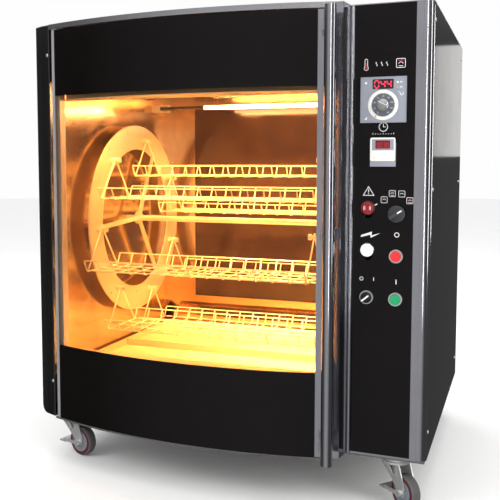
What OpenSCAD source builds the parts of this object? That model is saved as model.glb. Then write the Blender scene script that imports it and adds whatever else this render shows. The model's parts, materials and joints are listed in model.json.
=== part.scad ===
// Electric rotisserie oven: a cabinet on four swivel castors with a bowed glass
// door, a motor-driven cage that carries seven hanging wire baskets, radiant
// heating tubes and a control column at the right.
//
// Millimetres. X runs from left to right, Y from front to back and Z upwards.
// The modules are written from the cabinet's lower left front corner, where
// the control panel's face is Y = 0. in_frame() then moves them so that the
// origin is on the floor, under the middle of the whole oven.

/* [Cabinet] */
// Width over the side panels
body_w = 970; // [940:1:1010]
// Depth from the control panel's face to the back panel
body_d = 750; // [748:1:800]
// Height of the cabinet without its castors
body_h = 977; // [970:1:1010]
// Thickness of the steel sheets
sheet = 2; // [1.5:0.5:2.5]
// Height from the floor to the cabinet's underside
castor_h = 113; // [112:1:125]

/* [Bowed door] */
// Outer radius of the bowed glass
bow_r = 1300; // [1280:10:1350]
// How far the bow's apex stands in front of the control panel
bow_out = 90; // [86:1:92]
// Thickness of the door glass
glass_t = 6; // [4:0.5:6]
// Depth of the door's frame behind its outer face
door_t = 28; // [24:1:30]
// Diameter of the handle tube
handle_d = 25; // [20:1:28]

/* [Oven cavity] */
// Distance from the left side to the cavity's left wall
cavity_x0 = 50; // [46:1:54]
// Inner width of the cavity
cavity_w = 680; // [676:1:684]
// Height of the cavity's floor above the underside
cavity_z0 = 100; // [90:1:104]
// Inner height of the cavity
cavity_h = 740; // [720:1:745]

/* [Rotor] */
// Radius of the circle that the basket pins travel on
pin_circle = 230; // [226:1:233]
// Outer radius of the end rings
ring_ro = 271; // [262:1:276]
// Inner radius of the end rings
ring_ri = 202; // [196:1:206]
// Diameter of the central shaft
shaft_d = 16; // [12:1:20]
// Angle of the first basket, from straight up towards the back
first_angle = 9; // [0:1:51]

/* [Baskets] */
// Drop from the pin to the underside of the basket
basket_drop = 105; // [98:1:110]
// Height of the basket's sloping sides
basket_side = 33; // [24:1:40]
// Half width at the bottom
basket_bottom = 80; // [70:1:82]
// Half width at the rim
basket_rim = 95; // [84:1:95]
// Thickness of the basket wire
wire = 3.2; // [2.5:0.1:4]

/* [Castors] */
// Wheel diameter
wheel_d = 75; // [70:1:75]
// Distance from the swivel axis to the wheel's axle
trail = 34; // [26:1:38]

/* [Hidden] */
$fn = 64;
bow_fn = 720;

// Plan of the front: the door lies between the left column and the jamb.
bow_x = 450;
bow_y = bow_r - bow_out;
column_x = 55;
hinge = [70, -24];
hinge_pin_r = 5;
hinge_knuckle_r = 7.5;
glass_x0 = 76;
stile_x = 740;
stile_lip_x = 754;
door_x1 = 772;
jamb_x0 = 776;
jamb_y = -46;
bead_x = 797;
panel_x0 = 806;
panel_x1 = 935;
trim_x = 953;
trim_r = body_w - trim_x;
handle = [775.5, -95];
door_z0 = 2;
door_z1 = body_h - 15;
ledge_z0 = 175;
ledge_z1 = 793;
ledge_y = -3;
ledge_flange = 18;
canopy_z = body_h - 12;
pan_t = 4;
run_gap = 0.1;

// Whole oven: the handle is the foremost point and the cable gland the rearmost.
gland_out = 14;
front_y = handle.y - handle_d / 2;
mid_y = (front_y + body_d + gland_out) / 2;

// Cavity and rear window.
cavity_x1 = cavity_x0 + cavity_w;
cavity_z1 = cavity_z0 + cavity_h;
cavity_y0 = sheet;
cavity_y1 = 706;
window_x0 = 125;
window_x1 = 655;
window_z0 = 195;
window_z1 = cavity_z1 - 14;
window_frame = 36;
rear_glass_t = 5;

// Heating tubes: their centres as [y, z].
tube_r = 6;
tubes = [[545, cavity_z1 - 31], [605, cavity_z1 - 27]];
holder_w = 26;

// Rotor: the axis runs along X through the middle of the cavity.
axis_y = 375;
axis_z = 478;
shaft_r = shaft_d / 2;
shaft_x0 = 26;
shaft_x1 = 800;
ring_t = 4;
left_ring_x = 78;
right_ring_x = 698;
baskets = 7;
pin_r = 5;
pin_len = 30;
knob_r = 7.5;
collar_len = 8;
eye_x = 13;
eye_t = 4;
eye_gap = 0.6;
eye_ro = 9.5;
spoke_w = 12;
spoke_t = 6;
spoke_base = 27;
hub_r = 18;

// Basket wires: the frame starts in the plane of the left eyes.
basket_x0 = left_ring_x + ring_t + eye_x;
basket_x1 = right_ring_x - eye_x;
cross_wires = 13;

// Control positions on the panel, as [x, z].
controller_c = [869, 774.5];
controller_w = 96;
dial_c = [869, 763.5];
timer_c = [869.8, 659];
timer_w = 53.5;
timer_h = 50;
buzzer_c = [838.6, 534];
function_c = [901, 534];
lamp_c = [838, 442.8];
stop_c = [900, 443];
switch_c = [838, 351.4];
start_c = [900, 350.4];
face_out = 8;
panel_t = 5;
button_travel = 4;

// Fittings on the back and the sides.
gland_x = 880;
gland_z = 80;
gland_r = 5;
screw_r = 4;
screw_out = 2;

// Castors: the wheel's centre lies behind the swivel axis by the trail.
plate_bottom = -pan_t - 3;
race_bottom = plate_bottom - 5;
crown_top = race_bottom - 0.6;
crown_t = 5;
wheel_z = wheel_d / 2 - castor_h;
wheel_w = 24;
fork_in = 14;
fork_t = 3;
axle_r = 4;
castor_in_x = 68;
castor_in_y = 38;
front_left_turn = -15;
front_right_turn = -42;
rear_left_turn = 180 - front_right_turn;
rear_right_turn = -60;

function pin_angle(k) = first_angle + 360 / baskets * (k - 1);
function pin_y(k) = axis_y + pin_circle * sin(pin_angle(k));
function pin_z(k) = axis_z + pin_circle * cos(pin_angle(k));

// ---------------------------------------------------------------- helpers

// Moves a piece from the cabinet's corner to the oven's own frame.
module in_frame() {
    translate([-body_w / 2, -mid_y, castor_h]) children();
}

// A box from one corner to the opposite one.
module box(from, to) {
    translate(from) cube(to - from);
}

// A rod along X.
module x_rod(r, x0, x1, y, z) {
    translate([x0, y, z]) rotate([0, 90, 0]) cylinder(r = r, h = x1 - x0);
}

// A rod along Y.
module y_rod(r, y0, y1, x, z) {
    translate([x, y0, z]) rotate([-90, 0, 0]) cylinder(r = r, h = y1 - y0);
}

// An upright rod.
module z_rod(r, z0, z1, x, y) {
    translate([x, y, z0]) cylinder(r = r, h = z1 - z0);
}

// An upright prism over a plan outline.
module upright(points, z0, z1) {
    translate([0, 0, z0]) linear_extrude(z1 - z0) polygon(points);
}

// A curved wall that follows the bow, between two radii and two x values.
module bow_wall(ro, ri, x0, x1, z0, z1) {
    intersection() {
        difference() {
            translate([bow_x, bow_y, z0]) cylinder(r = ro, h = z1 - z0, $fn = bow_fn);
            translate([bow_x, bow_y, z0 - 1])
                cylinder(r = ri, h = z1 - z0 + 2, $fn = bow_fn);
        }
        box([x0, -bow_out - 20, z0], [x1, 20, z1]);
    }
}

// The flat plan of the front, from the cabinet's face out to the bow.
module bow_plate(r, z0, z1) {
    intersection() {
        translate([bow_x, bow_y, z0]) cylinder(r = r, h = z1 - z0, $fn = bow_fn);
        box([column_x, -bow_out - 20, z0], [jamb_x0, 0, z1]);
    }
    upright([[0, 0], [24, -14], [column_x - 3, -25], [column_x, -25], [column_x, 0]], z0, z1);
    upright([[jamb_x0, 0], [jamb_x0, jamb_y], [791, jamb_y], [bead_x, -4], [bead_x, 0]], z0, z1);
}

// A square steel tube along X or Y.
module frame_tube(from, to, along_x) {
    inset = along_x ? [-1, sheet, sheet] : [sheet, -1, sheet];
    difference() {
        box(from, to);
        box(from + inset, to - inset);
    }
}

// Cuts the rounded lower corner of the left side.
module left_corner_cut(r = 20) {
    difference() {
        box([-1, -40, -1], [r, body_d + 1, r]);
        y_rod(r, -41, body_d + 2, r, r);
    }
}

// ---------------------------------------------------------------- cabinet

module base_frame() {
    rail = 30;
    y0 = 20;
    y1 = body_d - 12;
    in_frame() color("dimgray") {
        box([20, 0, -pan_t], [body_w - 3, body_d - 2, 0]);
        intersection() {
            translate([bow_x, bow_y, -pan_t]) cylinder(r = bow_r - 1, h = pan_t, $fn = bow_fn);
            box([column_x + 3, -bow_out - 20, -pan_t], [jamb_x0, 0, 0]);
        }
        for (x = [4, body_w - 4 - rail])
            frame_tube([x, y0, 0], [x + rail, y1, rail], false);
        for (y = [y0, axis_y - rail / 2, y1 - rail])
            frame_tube([4 + rail, y, 0], [body_w - 4 - rail, y + rail, rail], true);
    }
}

module left_side_panel() {
    in_frame() color("silver") difference() {
        union() {
            box([0, 0, 0], [sheet, body_d - sheet, body_h - sheet]);
            box([sheet, body_d - sheet - 14, 32], [14, body_d - sheet - 12, body_h - sheet]);
        }
        left_corner_cut();
    }
}

module right_side_panel() {
    in_frame() color("silver") {
        box([body_w - sheet, trim_r, 0], [body_w, body_d - sheet, body_h - sheet]);
        box([body_w - 14, body_d - sheet - 14, 32],
            [body_w - sheet, body_d - sheet - 12, body_h - sheet]);
    }
}

module top_panel() {
    in_frame() color("gainsboro") {
        difference() {
            union() {
                box([0, 0, body_h - sheet], [body_w, body_d, body_h]);
                bow_plate(bow_r, body_h - sheet, body_h);
            }
            // The front right corner follows the rounded trim.
            difference() {
                box([trim_x, -1, body_h - sheet - 1], [body_w + 1, trim_r, body_h + 1]);
                z_rod(trim_r, body_h - sheet - 2, body_h + 2, trim_x, trim_r);
            }
        }
        bow_wall(bow_r, bow_r - sheet, column_x + 1, jamb_x0 - 2, canopy_z, body_h - sheet);
    }
}

module back_panel() {
    slot_h = 5;
    in_frame() color("silver") difference() {
        box([0, body_d - sheet, 0], [body_w, body_d, body_h - sheet]);
        box([window_x0, body_d - 5, window_z0], [window_x1, body_d + 1, window_z1]);
        for (i = [0:9])
            box([780, body_d - 5, 560 + 14 * i], [920, body_d + 1, 560 + 14 * i + slot_h]);
        y_rod(10.3, body_d - 5, body_d + 1, gland_x, gland_z);
    }
}

module left_front_column() {
    in_frame() color("darkgray") difference() {
        upright([[0, 0], [24, -14], [column_x - 3, -25], [column_x, -25], [column_x, 0]],
            0, body_h - sheet);
        upright([[7, -2], [24.8, -11.7], [column_x - 2.6, -22.6], [column_x - 2, -22.6],
            [column_x - 2, -2]], -1, body_h);
        left_corner_cut();
    }
}

module front_frame() {
    in_frame() color("lightgray") difference() {
        box([sheet, 0, 22], [bead_x, sheet, body_h - sheet]);
        box([cavity_x0, -1, cavity_z0], [cavity_x1, sheet + 1, cavity_z1]);
    }
}

module door_jamb() {
    in_frame() color("lightsteelblue") difference() {
        upright([[jamb_x0, 0], [jamb_x0, jamb_y], [791, jamb_y], [bead_x, -4], [bead_x, 0]],
            0, body_h - sheet);
        upright([[jamb_x0 + 2, -2], [jamb_x0 + 2, jamb_y + 2], [789.3, jamb_y + 2],
            [bead_x - 2.2, -4], [bead_x - 2.2, -2]], -1, body_h);
    }
}

module control_fascia() {
    top = body_h - sheet;
    in_frame() color("lightsteelblue") {
        // Bead beside the jamb, half round in plan.
        intersection() {
            z_rod(4.5, 0, top, bead_x + 4.5, 0);
            box([bead_x, -5, 0], [panel_x0, 0, top]);
        }
        box([bead_x, 0, 0], [panel_x0, 2, top]);
        box([panel_x0, 0, 0], [panel_x1, 2, 4]);
        box([panel_x1, -1, 0], [949, 2, top]);
        box([949, 1, 0], [trim_x, 2, top]);
        // Rounded corner of the cabinet.
        difference() {
            intersection() {
                z_rod(trim_r, 0, top, trim_x, trim_r);
                box([trim_x, -1, 0], [body_w + 1, trim_r, top]);
            }
            z_rod(trim_r - sheet, -1, top + 1, trim_x, trim_r);
        }
    }
}

module control_glass() {
    in_frame() color("black") difference() {
        box([panel_x0, 0, 5], [panel_x1, panel_t, body_h - sheet]);
        box([controller_c.x - 46, -1, controller_c.y - 46],
            [controller_c.x + 46, panel_t + 1, controller_c.y + 46]);
        box([timer_c.x - 23, -1, timer_c.y - 21], [timer_c.x + 23, panel_t + 1, timer_c.y + 21]);
        for (c = [buzzer_c, function_c, lamp_c, stop_c, switch_c, start_c])
            y_rod(11, -1, panel_t + 1, c.x, c.y);
    }
}

// ---------------------------------------------------------------- cavity

module side_wall(x) {
    in_frame() color("burlywood") difference() {
        box([x, cavity_y0, cavity_z0 - sheet], [x + sheet, cavity_y1, cavity_z1 + sheet]);
        x_rod(shaft_r + 4, x - 1, x + sheet + 1, axis_y, axis_z);
    }
}

module cavity_ceiling() {
    in_frame() color("burlywood")
        box([cavity_x0, cavity_y0, cavity_z1], [cavity_x1, cavity_y1, cavity_z1 + sheet]);
}

module cavity_floor() {
    in_frame() color("burlywood")
        box([cavity_x0, cavity_y0, cavity_z0 - sheet], [cavity_x1, cavity_y1, cavity_z0]);
}

// The back wall carries the window's raised frame and a folded reflector that
// slopes forward below it.
module cavity_back_wall() {
    y = cavity_y1 - sheet;
    fx0 = window_x0 - window_frame;
    fx1 = window_x1 + window_frame;
    fz0 = window_z0 - 10;
    fz1 = cavity_z1 - 2;
    in_frame() color("burlywood") {
        difference() {
            union() {
                box([cavity_x0, y, cavity_z0], [cavity_x1, cavity_y1, cavity_z1]);
                box([fx0, y - 4, fz0], [fx1, y, fz1]);
            }
            box([window_x0, y - 5, window_z0], [window_x1, cavity_y1 + 1, window_z1]);
        }
        // The window's tunnel through the insulation.
        difference() {
            box([window_x0 - sheet, cavity_y1, window_z0 - sheet],
                [window_x1 + sheet, body_d - sheet, window_z1 + sheet]);
            box([window_x0, cavity_y1 - 1, window_z0], [window_x1, body_d, window_z1]);
        }
        translate([cavity_x0 + 20, 0, 0]) rotate([90, 0, 90]) linear_extrude(cavity_w - 40)
            polygon([[y, fz0 - 13], [y - 64, fz0 - 45], [y - 64, cavity_z0],
                [y - 64 + sheet, cavity_z0], [y - 64 + sheet, fz0 - 45 - sheet / 2],
                [y, fz0 - 13 - sheet]]);
    }
}

module rear_window_glass() {
    in_frame() color("dimgray", 0.6)
        for (y = [cavity_y1 + 2, body_d - rear_glass_t])
            box([window_x0, y, window_z0], [window_x1, y + rear_glass_t, window_z1]);
}

module drip_tray() {
    x0 = cavity_x0 + 10;
    x1 = cavity_x1 - 10;
    y0 = 16;
    y1 = 630;
    z0 = cavity_z0;
    in_frame() color("darkgoldenrod") {
        difference() {
            box([x0, y0, z0], [x1, y1, z0 + 22]);
            box([x0 + sheet, y0 + sheet, z0 + sheet], [x1 - sheet, y1 - sheet, z0 + 23]);
        }
        box([x0 + sheet, 336, z0 + sheet], [x1 - sheet, 336 + sheet, z0 + 21]);
        // Rolled front edge that serves as the tray's grip.
        box([x0 + 200, y0 - 10, z0 + 16], [x1 - 200, y0, z0 + 19]);
    }
}

module heater_tubes() {
    in_frame() color("orange")
        for (t = tubes)
            x_rod(tube_r, cavity_x0 + 16, cavity_x1 - 16, t.x, t.y);
}

// A ceramic block at each end of each tube, bored for the tube's cap.
module heater_holders() {
    in_frame() color("linen")
        for (t = tubes, x = [cavity_x0, cavity_x1 - holder_w]) difference() {
            box([x, t.x - 11, t.y - 11], [x + holder_w, t.x + 11, t.y + 11]);
            x_rod(tube_r, cavity_x0 + 16, cavity_x1 - 16, t.x, t.y);
        }
}

// ---------------------------------------------------------------- controls

module panel_instruments() {
    half = controller_w / 2;
    in_frame() color("slategray") {
        difference() {
            union() {
                box([controller_c.x - half, -face_out, controller_c.y - half],
                    [controller_c.x + half, 0, controller_c.y + half]);
                box([controller_c.x - 45, 0, controller_c.y - 45],
                    [controller_c.x + 45, 60, controller_c.y + 45]);
            }
            y_rod(4, -face_out - 1, 12, dial_c.x, dial_c.y);
        }
        box([timer_c.x - timer_w / 2, -face_out, timer_c.y - timer_h / 2],
            [timer_c.x + timer_w / 2, 0, timer_c.y + timer_h / 2]);
        box([timer_c.x - 22, 0, timer_c.y - 20], [timer_c.x + 22, 52, timer_c.y + 20]);
    }
}

// The red alarm and the white power lamp: a lens in front, a body behind.
module panel_indicators() {
    in_frame() color("crimson")
        for (c = [buzzer_c, lamp_c]) {
            y_rod(15.5, -4, 0, c.x, c.y);
            y_rod(12.5, -10, -4, c.x, c.y);
            y_rod(10.5, 0, 44, c.x, c.y);
        }
}

// A bezel on the panel with its switch block behind, bored for the stem.
module bezel(c, r_out, r_in, bore) {
    difference() {
        union() {
            y_rod(r_out, -5, 0, c.x, c.y);
            y_rod(10.5, 0, 10, c.x, c.y);
            box([c.x - 15, 8, c.y - 15], [c.x + 15, 46, c.y + 15]);
        }
        y_rod(r_in, -6, -2, c.x, c.y);
        y_rod(bore, -3, 30, c.x, c.y);
    }
}

module control_bezels() {
    in_frame() color("gray") {
        bezel(stop_c, 14.5, 12, 6);
        bezel(start_c, 14.5, 12, 6);
        bezel(switch_c, 14.5, 12.5, 4);
        bezel(function_c, 14.5, 12.5, 4);
    }
}

module push_button(c) {
    y_rod(11.4, -11, -2.2 - button_travel, c.x, c.y);
    y_rod(5, -2.3 - button_travel, 18, c.x, c.y);
}

module start_button() {
    in_frame() color("limegreen") push_button(start_c);
}

module stop_button() {
    in_frame() color("red") push_button(stop_c);
}

// A round knob with a raised grip bar that doubles as the pointer.
module knob(c, r, y0, y1, grip, turn) {
    y_rod(r, y0 + grip, y1, c.x, c.y);
    y_rod(3, y1, y1 + 14, c.x, c.y);
    translate([c.x, 0, c.y]) rotate([0, turn, 0])
        box([-3.2, y0, -r + 1], [3.2, y0 + grip + 1, r - 1]);
}

module temperature_dial() {
    in_frame() color("silver") knob(dial_c, 13, -24, -8.5, 7, -62);
}

module function_knob() {
    in_frame() color("dimgray") knob(function_c, 18, -24, -5.5, 9, 57);
}

module power_switch_knob() {
    in_frame() color("black") knob(switch_c, 12, -20, -5.5, 9, 50);
}

// ---------------------------------------------------------------- drive

// Gearbox with a through bore for the shaft, and its motor hanging below.
module gearmotor() {
    in_frame() color("darkslategray") {
        difference() {
            union() {
                box([758, axis_y - 42, axis_z - 46], [820, axis_y + 42, axis_z + 42]);
                box([752, axis_y - 60, axis_z - 60], [758, axis_y + 60, axis_z + 60]);
            }
            x_rod(shaft_r + 1, 750, 822, axis_y, axis_z);
        }
        z_rod(37, axis_z - 186, axis_z - 46, 789, axis_y);
        z_rod(30, axis_z - 200, axis_z - 186, 789, axis_y);
        // Bracket from the cavity wall to the gearbox plate.
        for (y = [axis_y - 60, axis_y + 50])
            box([cavity_x1 + sheet, y, axis_z - 60], [752, y + 10, axis_z + 60]);
    }
}

module shaft_bearings() {
    in_frame() color("gray")
        for (x = [cavity_x0 - sheet - 14, cavity_x1 + sheet]) difference() {
            x_rod(24, x, x + 12, axis_y, axis_z);
            x_rod(shaft_r + run_gap - 0.02, x - 1, x + 13, axis_y, axis_z);
        }
}

module rotor_shaft() {
    in_frame() color("silver") {
        x_rod(shaft_r, shaft_x0, shaft_x1, axis_y, axis_z);
        for (x = [left_ring_x + ring_t, right_ring_x - spoke_t]) difference() {
            union() {
                x_rod(hub_r, x - 2, x + spoke_t + 2, axis_y, axis_z);
                for (i = [0:2])
                    translate([x, axis_y, axis_z]) rotate([-spoke_base - 120 * i, 0, 0])
                        box([0, -spoke_w / 2, 0], [spoke_t, spoke_w / 2, ring_ri + 14]);
            }
            x_rod(shaft_r - 1, x - 3, x + spoke_t + 3, axis_y, axis_z);
        }
    }
}

// A row of small holes through a ring.
module ring_holes(x, r, count, start) {
    for (i = [1:count]) {
        a = start + 360 / count * i;
        x_rod(3, x - 1, x + ring_t + 1, axis_y + r * sin(a), axis_z + r * cos(a), $fn = 24);
    }
}

// An end ring with two rows of small holes.
module ring(x) {
    in_frame() color("gold") difference() {
        x_rod(ring_ro, x, x + ring_t, axis_y, axis_z, $fn = 180);
        x_rod(ring_ri, x - 1, x + ring_t + 1, axis_y, axis_z, $fn = 180);
        ring_holes(x, ring_ro - 15, 2 * baskets, first_angle + 4);
        ring_holes(x, ring_ri + 17, baskets, first_angle + 20);
    }
}

// Pin with a collar at the ring and a knob at its free end. dir is 1 or -1.
module pin(x, dir, k) {
    y = pin_y(k);
    z = pin_z(k);
    x_rod(pin_r, min(x, x + dir * pin_len), max(x, x + dir * pin_len), y, z, $fn = 48);
    x_rod(knob_r, min(x, x + dir * collar_len), max(x, x + dir * collar_len), y, z, $fn = 48);
    x_rod(knob_r, min(x + dir * (pin_len - 7), x + dir * pin_len),
        max(x + dir * (pin_len - 7), x + dir * pin_len), y, z, $fn = 48);
}

module pivot_pins() {
    in_frame() color("goldenrod")
        for (k = [1:baskets]) {
            pin(left_ring_x + ring_t, 1, k);
            pin(right_ring_x, -1, k);
        }
}

// ---------------------------------------------------------------- baskets

// Outline of one U-shaped cross wire, seen along the basket.
function cross_outline() = let (b = basket_bottom, r = basket_rim, d = -basket_drop,
    t = -basket_drop + basket_side, w = wire)
    [[-r, t], [-b, d], [b, d], [r, t], [r - 1.1 * w, t], [b - 0.6 * w, d + w],
        [-b + 0.6 * w, d + w], [-r + 1.1 * w, t]];

// Outline of one hanger wire from the eye to the basket's lower corner.
function hanger_outline(s) = let (b = basket_bottom - 1, d = -basket_drop + 0.2)
    [[s * 4.5, -7], [s * 8, -5], [s * b, d], [s * (b - 4.5), d]];

module end_frame(x) {
    translate([x, 0, 0]) rotate([90, 0, 90]) {
        linear_extrude(eye_t) polygon(cross_outline());
        for (s = [-1, 1])
            linear_extrude(eye_t) polygon(hanger_outline(s));
    }
    difference() {
        x_rod(eye_ro, x, x + eye_t, 0, 0, $fn = 48);
        x_rod(pin_r + eye_gap, x - 1, x + eye_t + 1, 0, 0, $fn = 48);
    }
}

// A wire basket that hangs from two pins on a common axis.
module basket(k) {
    length = basket_x1 - basket_x0;
    pitch = length / (cross_wires + 1);
    rim_z = -basket_drop + basket_side - wire;
    in_frame() color("khaki") translate([0, pin_y(k), pin_z(k)]) {
        end_frame(basket_x0);
        end_frame(basket_x1 - eye_t);
        for (i = [1:cross_wires])
            translate([basket_x0 + pitch * i - wire / 2, 0, 0]) rotate([90, 0, 90])
                linear_extrude(wire) polygon(cross_outline());
        for (s = [-1, 1]) {
            box([basket_x0, s * (basket_rim - 2) - wire / 2, rim_z],
                [basket_x1, s * (basket_rim - 2) + wire / 2, rim_z + wire]);
            box([basket_x0, s * (basket_bottom - 2) - wire / 2, -basket_drop],
                [basket_x1, s * (basket_bottom - 2) + wire / 2, -basket_drop + wire]);
        }
        for (y = [-basket_bottom / 3, basket_bottom / 3])
            box([basket_x0, y - wire / 2, -basket_drop],
                [basket_x1, y + wire / 2, -basket_drop + wire]);
    }
}

// ---------------------------------------------------------------- door

module hinge_pins() {
    in_frame() color("gray") {
        z_rod(hinge_pin_r, 0, 20, hinge.x, hinge.y);
        box([64, hinge.y - 3, 0], [96, -0.5, 1.4]);
        z_rod(hinge_pin_r, door_z1 - 18, canopy_z + 6, hinge.x, hinge.y);
        box([64, hinge.y - 3, canopy_z - 2], [96, -0.5, canopy_z + 2]);
    }
}

module door_glass() {
    in_frame() color("black", 0.5)
        bow_wall(bow_r, bow_r - glass_t, glass_x0, stile_x, door_z0, door_z1);
}

// Hinge stile with its knuckle, and the two bowed rails behind the glass.
module door_frame() {
    ri = bow_r - door_t;
    in_frame() color("dimgray") difference() {
        union() {
            z_rod(hinge_knuckle_r, door_z0, door_z1, hinge.x, hinge.y);
            bow_wall(bow_r, ri, hinge.x, glass_x0, door_z0, door_z1);
            bow_wall(bow_r - glass_t, ri, glass_x0, glass_x0 + 12, door_z0, door_z1);
            for (z = [door_z0, door_z1 - 35])
                bow_wall(bow_r - glass_t, ri, glass_x0 + 12, stile_x, z, z + 35);
        }
        for (z = [door_z0 - 1, door_z1 - 18.5])
            z_rod(hinge_pin_r + run_gap, z, z + 19.5, hinge.x, hinge.y);
    }
}

// Folded ledges along the window's lower and upper edges, from the bowed glass
// back to the cabinet's face.
module door_ledges() {
    x0 = glass_x0 + 12;
    in_frame() color("burlywood")
        for (up = [false, true]) {
            z = up ? ledge_z1 : ledge_z0 - sheet;
            intersection() {
                translate([bow_x, bow_y, z])
                    cylinder(r = bow_r - glass_t, h = sheet, $fn = bow_fn);
                box([x0, -bow_out, z], [stile_x, ledge_y, z + sheet]);
            }
            flange_z = up ? z + sheet : z - ledge_flange;
            box([x0, ledge_y - sheet, flange_z], [stile_x, ledge_y, flange_z + ledge_flange]);
        }
}

module door_right_stile() {
    in_frame() color("lightsteelblue") {
        bow_wall(bow_r + 1, bow_r - door_t, stile_x, stile_lip_x, door_z0, door_z1);
        bow_wall(bow_r - 8, bow_r - door_t, stile_lip_x, door_x1, door_z0, door_z1);
    }
}

module handle_tube() {
    in_frame() color("silver") z_rod(handle_d / 2, door_z0, door_z1, handle.x, handle.y);
}

module handle_standoffs() {
    in_frame() color("silver")
        for (z = [30, body_h / 2 - 10, body_h - 65]) difference() {
            box([757, handle.y, z], [770, -30, z + 20]);
            z_rod(handle_d / 2, z - 1, z + 21, handle.x, handle.y);
            translate([bow_x, bow_y, z - 1])
                cylinder(r = bow_r - 8, h = 22, $fn = bow_fn);
        }
}

// ---------------------------------------------------------------- fittings

module cable_gland() {
    in_frame() color("dimgray") difference() {
        union() {
            y_rod(10, body_d - 20, body_d, gland_x, gland_z);
            y_rod(16, body_d, body_d + 5, gland_x, gland_z, $fn = 6);
            y_rod(12, body_d + 5, body_d + gland_out, gland_x, gland_z);
        }
        y_rod(gland_r, body_d - 21, body_d + gland_out + 1, gland_x, gland_z);
    }
}

module power_box() {
    in_frame() color("darkgray") {
        box([760, 600, 0], [930, 700, 8]);
        box([770, 610, 8], [850, 690, 98]);
        box([862, 620, 8], [922, 680, 43]);
    }
}

module body_screws() {
    in_frame() color("whitesmoke") {
        for (y = [30, body_d - 40], z = [46, 574, 929]) {
            x_rod(screw_r, body_w, body_w + screw_out, y, z, $fn = 32);
            x_rod(screw_r, -screw_out, 0, y, z, $fn = 32);
        }
        for (x = [24, 330, 640, body_w - 24], z = [40, body_h - 40])
            y_rod(screw_r, body_d, body_d + screw_out, x, z, $fn = 32);
        // Two screws on the inner facet of the left column.
        for (z = [78.5, 893])
            translate([48, -23.43, z]) rotate([90, 0, -21.45])
                cylinder(r = screw_r, h = screw_out, $fn = 32);
    }
}

// ---------------------------------------------------------------- castors

function castor_x(right) = right ? body_w - castor_in_x : castor_in_x;
function castor_y(rear) = rear ? body_d - castor_in_y : castor_in_y;

// Places a piece, modelled with its swivel axis at X = Y = 0, at one castor.
module at_castor(right, rear, turn) {
    translate([castor_x(right), castor_y(rear), 0]) rotate([0, 0, turn]) children();
}

module castor_plates() {
    in_frame() color("lightgray")
        for (right = [false, true], rear = [false, true])
            translate([castor_x(right), castor_y(rear), 0]) {
                box([-33, -30, plate_bottom], [33, 30, -pan_t]);
                z_rod(30, race_bottom, plate_bottom, 0, 0);
                z_rod(6, crown_top - crown_t - 1, race_bottom, 0, 0);
            }
}

// Fork: a crown with two cheeks, and the bolt that the wheel turns on.
module castor_fork(right, rear, turn) {
    crown_bottom = crown_top - crown_t;
    cheek = [[-27, crown_top], [27, crown_top], [trail + 13, wheel_z + 12],
        [trail + 9, wheel_z - 9], [trail - 9, wheel_z - 9], [trail - 15, wheel_z + 8],
        [-27, crown_bottom - 6]];
    in_frame() color("silver") at_castor(right, rear, turn) difference() {
        union() {
            z_rod(32, crown_bottom, crown_top, 0, 0);
            for (y = [-fork_in - fork_t, fork_in])
                translate([0, y + fork_t, 0]) rotate([90, 0, 0])
                    linear_extrude(fork_t) polygon(cheek);
            y_rod(axle_r, -fork_in - fork_t, fork_in + fork_t, trail, wheel_z);
            for (y = [-fork_in - fork_t - 4, fork_in + fork_t])
                y_rod(7, y, y + 4, trail, wheel_z, $fn = 6);
        }
        z_rod(6.2, crown_bottom - 1, crown_top + 1, 0, 0);
    }
}

// Wheel: a tyre with rounded shoulders, and hub covers on both sides.
module castor_wheel(right, rear, turn) {
    r = wheel_d / 2;
    w = wheel_w / 2;
    in_frame() color("maroon") at_castor(right, rear, turn)
        translate([trail, 0, wheel_z]) rotate([90, 0, 0]) difference() {
            rotate_extrude($fn = 96) polygon([[0, -w - 1], [26, -w - 1], [26, -w],
                [r - 3, -w], [r, -w + 3], [r, w - 3], [r - 3, w], [26, w], [26, w + 1],
                [0, w + 1]]);
            cylinder(r = axle_r + run_gap, h = 2 * w + 4, center = true);
        }
}

// Brake pedal: two arms on the axle's ends and a foot plate ahead of the wheel.
module brake_pedal(right, turn) {
    y0 = fork_in + fork_t + 4.5;
    arm = 3;
    in_frame() color("slategray") at_castor(right, false, turn)
        translate([trail, 0, wheel_z]) {
            for (y = [-y0 - arm, y0]) {
                y_rod(8, y, y + arm, 0, 0);
                box([-46, y, -5], [0, y + arm, 3]);
            }
            box([-62, -y0 - arm, -7], [-42, y0 + arm, -3]);
        }
}

// ---------------------------------------------------------------- assembly

base_frame();
left_side_panel();
right_side_panel();
top_panel();
back_panel();
left_front_column();
front_frame();
door_jamb();
control_fascia();
control_glass();
side_wall(cavity_x0 - sheet);  // cavity_left_wall
side_wall(cavity_x1);  // cavity_right_wall
cavity_ceiling();
cavity_floor();
cavity_back_wall();
rear_window_glass();
drip_tray();
heater_tubes();
heater_holders();
panel_instruments();
panel_indicators();
control_bezels();
gearmotor();
shaft_bearings();
hinge_pins();
castor_plates();
power_box();
cable_gland();
body_screws();
door_glass();
door_frame();
door_ledges();
door_right_stile();
handle_tube();
handle_standoffs();
rotor_shaft();
ring(left_ring_x);  // left_ring
ring(right_ring_x);  // right_ring
pivot_pins();
basket(1);  // basket_1
basket(2);  // basket_2
basket(3);  // basket_3
basket(4);  // basket_4
basket(5);  // basket_5
basket(6);  // basket_6
basket(7);  // basket_7
temperature_dial();
function_knob();
power_switch_knob();
start_button();
stop_button();
castor_fork(false, false, front_left_turn);  // castor_fork_fl
castor_fork(true, false, front_right_turn);  // castor_fork_fr
castor_fork(false, true, rear_left_turn);  // castor_fork_rl
castor_fork(true, true, rear_right_turn);  // castor_fork_rr
castor_wheel(false, false, front_left_turn);  // castor_wheel_fl
castor_wheel(true, false, front_right_turn);  // castor_wheel_fr
castor_wheel(false, true, rear_left_turn);  // castor_wheel_rl
castor_wheel(true, true, rear_right_turn);  // castor_wheel_rr
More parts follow.
